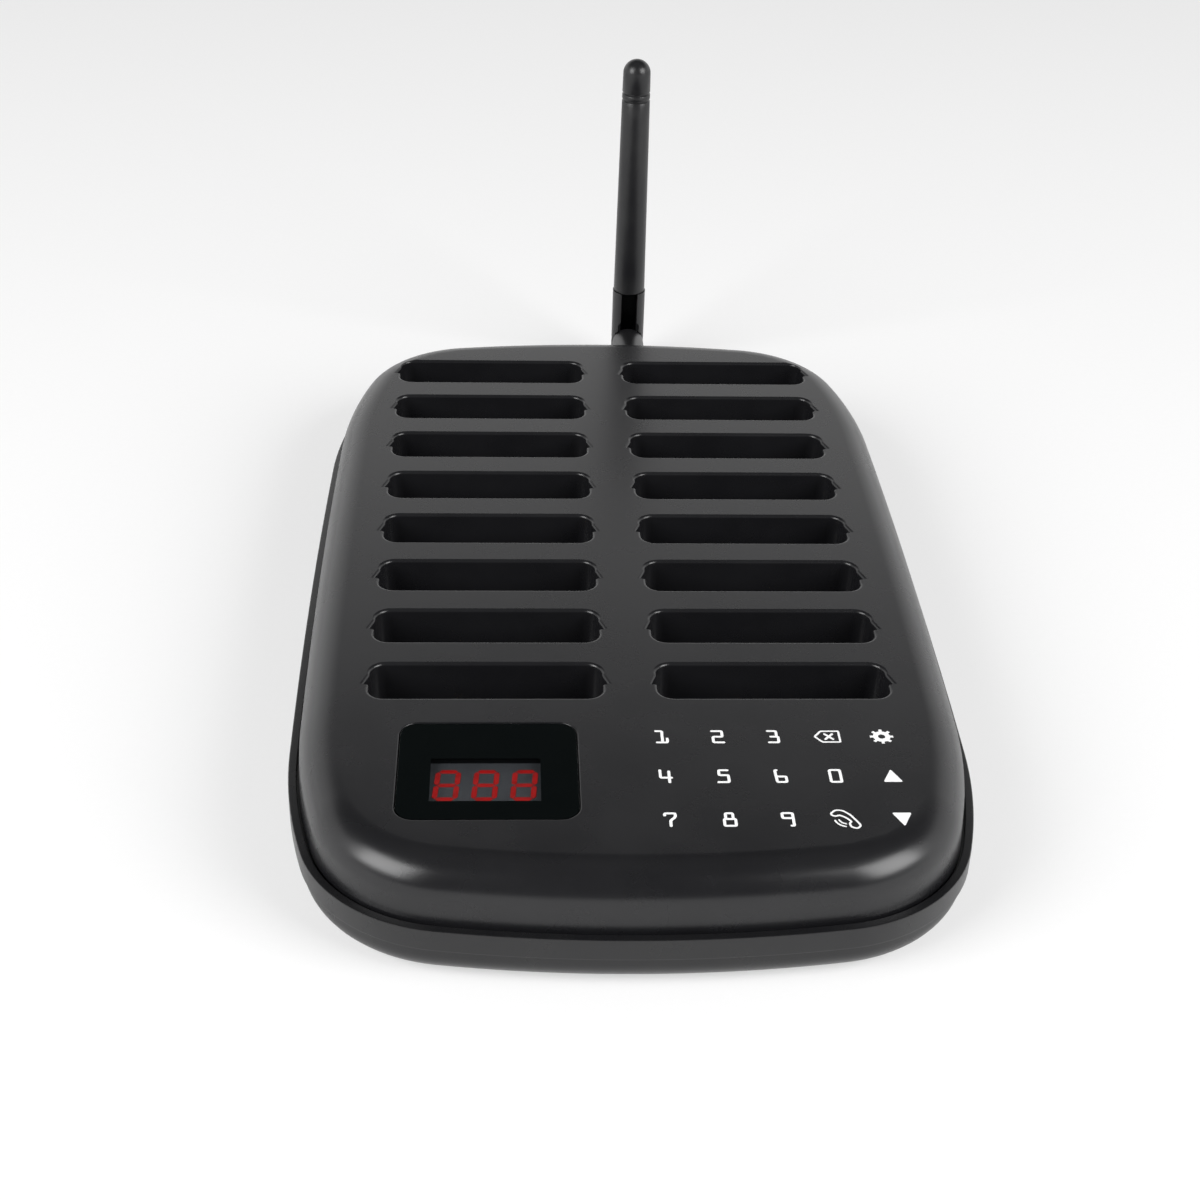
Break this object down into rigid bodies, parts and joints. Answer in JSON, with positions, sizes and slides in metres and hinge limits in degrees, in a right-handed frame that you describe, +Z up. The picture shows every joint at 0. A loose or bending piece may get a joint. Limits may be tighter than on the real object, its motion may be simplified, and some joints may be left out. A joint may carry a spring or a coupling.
{
  "type": "guest pager calling and charging base",
  "caption": "Low desk unit with rows of pager wells, a digit window, a flat touch keypad and a tilting rod antenna behind.",
  "frame": {"origin": "on the table under the middle of the whole object's length and width, antenna included", "axes": "+X to the right seen from the keypad end, +Y to the rear where the antenna stands, +Z up"},
  "size_m": [0.14, 0.271, 0.0916],
  "materials": {
    "cover_plastic": "fine spark-textured moulding, satin",
    "case_plastic": "fine spark-textured moulding, satin",
    "foot_rubber": "moulded, matte",
    "zinc_steel": "zinc plated",
    "window_acrylic": "smoked clear acrylic, polished",
    "adhesive_tape": "foam tape",
    "display_body": "moulded light box, grey printed face",
    "segment_red": "tinted epoxy, lit",
    "touch_foil": "conductive foam",
    "circuit_board": "solder mask over glass fibre",
    "connector_plastic": "moulded nylon",
    "chip_epoxy": "moulded epoxy",
    "can_steel": "tinned",
    "buzzer_plastic": "moulded",
    "ribbon_vinyl": "vinyl",
    "capacitor_sleeve": "shrink sleeve",
    "plated_brass": "plated",
    "slider_plastic": "moulded",
    "lead_jacket": "extruded jacket",
    "antenna_plastic": "satin moulding",
    "copper_rod": "drawn copper",
    "gold_pin": "gold flashed"
  },
  "bodies": {
    "base": {"top_cover": "cover_plastic", "bottom_case": "case_plastic", "rubber_feet": "foot_rubber", "case_screws": "zinc_steel", "display_window": "window_acrylic", "window_adhesive": "adhesive_tape", "display_module": "display_body", "display_segments": "segment_red", "touch_pads": "touch_foil", "key_board": "circuit_board", "main_board": "circuit_board", "main_board_screws": "zinc_steel", "board_header": "connector_plastic", "control_chip": "chip_epoxy", "crystal": "can_steel", "buzzer": "buzzer_plastic", "ribbon_sockets": "connector_plastic", "ribbon_cable": "ribbon_vinyl", "base_board": "circuit_board", "base_board_screws": "zinc_steel", "contact_blocks": "connector_plastic", "power_capacitor": "capacitor_sleeve", "power_jack": "connector_plastic", "jack_pin": "plated_brass", "power_switch": "can_steel", "radio_board": "circuit_board", "radio_shield": "can_steel", "antenna_lead": "lead_jacket", "antenna_socket": "plated_brass", "socket_nut": "plated_brass"},
    "antenna_base": {"antenna_barrel": "antenna_plastic", "coupling_nut": "plated_brass"},
    "mast": {"antenna_fork": "antenna_plastic", "mast_sleeve": "antenna_plastic", "antenna_radiator": "copper_rod", "pivot_pin": "zinc_steel"},
    "power_slider": {"power_slider": "slider_plastic"},
    "contact_pins_01": {"contact_pins_01": "gold_pin"},
    "contact_pins_02": {"contact_pins_02": "gold_pin"},
    "contact_pins_03": {"contact_pins_03": "gold_pin"},
    "contact_pins_04": {"contact_pins_04": "gold_pin"},
    "contact_pins_05": {"contact_pins_05": "gold_pin"},
    "contact_pins_06": {"contact_pins_06": "gold_pin"},
    "contact_pins_07": {"contact_pins_07": "gold_pin"},
    "contact_pins_08": {"contact_pins_08": "gold_pin"},
    "contact_pins_09": {"contact_pins_09": "gold_pin"},
    "contact_pins_10": {"contact_pins_10": "gold_pin"},
    "contact_pins_11": {"contact_pins_11": "gold_pin"},
    "contact_pins_12": {"contact_pins_12": "gold_pin"},
    "contact_pins_13": {"contact_pins_13": "gold_pin"},
    "contact_pins_14": {"contact_pins_14": "gold_pin"},
    "contact_pins_15": {"contact_pins_15": "gold_pin"},
    "contact_pins_16": {"contact_pins_16": "gold_pin"}
  },
  "joints": [
    {"name": "antenna_swivel", "type": "hinge", "parent": "base", "child": "antenna_base", "pos_m": [0.01, 0.11, 0.0085], "axis": [0, 1, 0], "range_deg": [-90, 90]},
    {"name": "antenna_tilt", "type": "hinge", "parent": "antenna_base", "child": "mast", "pos_m": [0.01, 0.13087, 0.0085], "axis": [-1, 0, 0], "range_deg": [0, 90]},
    {"name": "power_slide", "type": "slide", "parent": "base", "child": "power_slider", "axis": [1, 0, 0], "range_m": [0, 0.002]},
    {"name": "contact_pins_01_press", "type": "slide", "parent": "base", "child": "contact_pins_01", "axis": [0, 0, 1], "range_m": [-0.0012, 0], "stiffness_N_per_m": 300, "springref_m": 0.0006},
    {"name": "contact_pins_02_press", "type": "slide", "parent": "base", "child": "contact_pins_02", "axis": [0, 0, 1], "range_m": [-0.0012, 0], "stiffness_N_per_m": 300, "springref_m": 0.0006},
    {"name": "contact_pins_03_press", "type": "slide", "parent": "base", "child": "contact_pins_03", "axis": [0, 0, 1], "range_m": [-0.0012, 0], "stiffness_N_per_m": 300, "springref_m": 0.0006},
    {"name": "contact_pins_04_press", "type": "slide", "parent": "base", "child": "contact_pins_04", "axis": [0, 0, 1], "range_m": [-0.0012, 0], "stiffness_N_per_m": 300, "springref_m": 0.0006},
    {"name": "contact_pins_05_press", "type": "slide", "parent": "base", "child": "contact_pins_05", "axis": [0, 0, 1], "range_m": [-0.0012, 0], "stiffness_N_per_m": 300, "springref_m": 0.0006},
    {"name": "contact_pins_06_press", "type": "slide", "parent": "base", "child": "contact_pins_06", "axis": [0, 0, 1], "range_m": [-0.0012, 0], "stiffness_N_per_m": 300, "springref_m": 0.0006},
    {"name": "contact_pins_07_press", "type": "slide", "parent": "base", "child": "contact_pins_07", "axis": [0, 0, 1], "range_m": [-0.0012, 0], "stiffness_N_per_m": 300, "springref_m": 0.0006},
    {"name": "contact_pins_08_press", "type": "slide", "parent": "base", "child": "contact_pins_08", "axis": [0, 0, 1], "range_m": [-0.0012, 0], "stiffness_N_per_m": 300, "springref_m": 0.0006},
    {"name": "contact_pins_09_press", "type": "slide", "parent": "base", "child": "contact_pins_09", "axis": [0, 0, 1], "range_m": [-0.0012, 0], "stiffness_N_per_m": 300, "springref_m": 0.0006},
    {"name": "contact_pins_10_press", "type": "slide", "parent": "base", "child": "contact_pins_10", "axis": [0, 0, 1], "range_m": [-0.0012, 0], "stiffness_N_per_m": 300, "springref_m": 0.0006},
    {"name": "contact_pins_11_press", "type": "slide", "parent": "base", "child": "contact_pins_11", "axis": [0, 0, 1], "range_m": [-0.0012, 0], "stiffness_N_per_m": 300, "springref_m": 0.0006},
    {"name": "contact_pins_12_press", "type": "slide", "parent": "base", "child": "contact_pins_12", "axis": [0, 0, 1], "range_m": [-0.0012, 0], "stiffness_N_per_m": 300, "springref_m": 0.0006},
    {"name": "contact_pins_13_press", "type": "slide", "parent": "base", "child": "contact_pins_13", "axis": [0, 0, 1], "range_m": [-0.0012, 0], "stiffness_N_per_m": 300, "springref_m": 0.0006},
    {"name": "contact_pins_14_press", "type": "slide", "parent": "base", "child": "contact_pins_14", "axis": [0, 0, 1], "range_m": [-0.0012, 0], "stiffness_N_per_m": 300, "springref_m": 0.0006},
    {"name": "contact_pins_15_press", "type": "slide", "parent": "base", "child": "contact_pins_15", "axis": [0, 0, 1], "range_m": [-0.0012, 0], "stiffness_N_per_m": 300, "springref_m": 0.0006},
    {"name": "contact_pins_16_press", "type": "slide", "parent": "base", "child": "contact_pins_16", "axis": [0, 0, 1], "range_m": [-0.0012, 0], "stiffness_N_per_m": 300, "springref_m": 0.0006}
  ]
}
